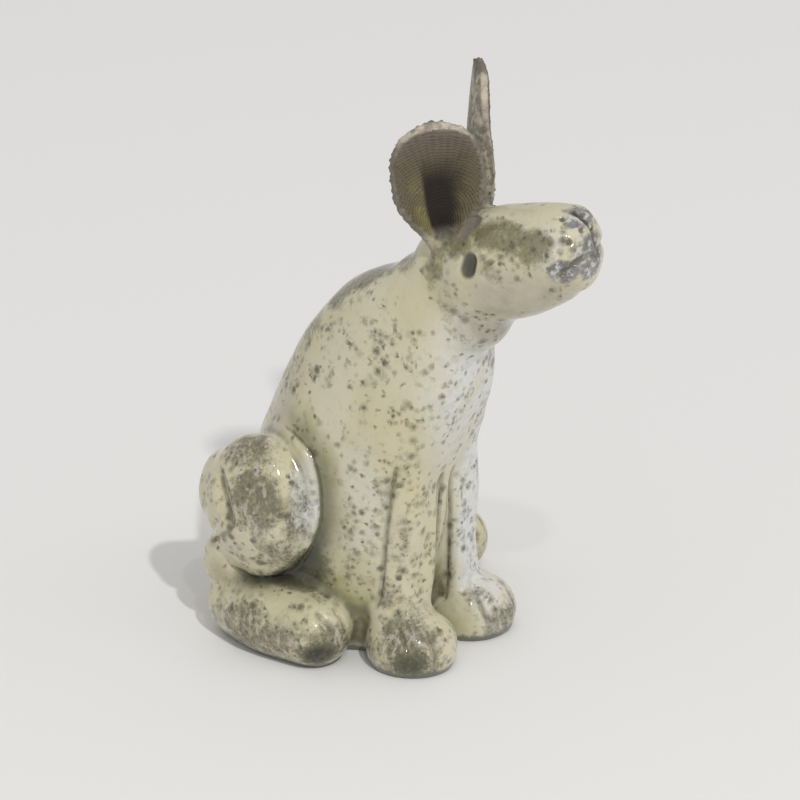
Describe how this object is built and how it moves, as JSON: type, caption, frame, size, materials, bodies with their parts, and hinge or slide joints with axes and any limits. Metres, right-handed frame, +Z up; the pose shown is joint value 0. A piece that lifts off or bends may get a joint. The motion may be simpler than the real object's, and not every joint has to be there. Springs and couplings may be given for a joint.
{
  "type": "hare sculpture",
  "caption": "Seated hare in glazed, smoke-fired ceramic, head raised, with cupped ears, rounded haunches and a flat underside that it stands on.",
  "frame": {"origin": "centre of the figure's bounding box in plan, on its flat underside", "axes": "+Z up to the ear tips, -Y the way the hare faces, +X its own left"},
  "size_m": [0.101, 0.125, 0.1899],
  "materials": {
    "glazed_clay": "glossy cream glaze with smoke-grey speckles and olive clouds"
  },
  "bodies": {
    "root": {"hare": "glazed_clay"}
  },
  "joints": []
}
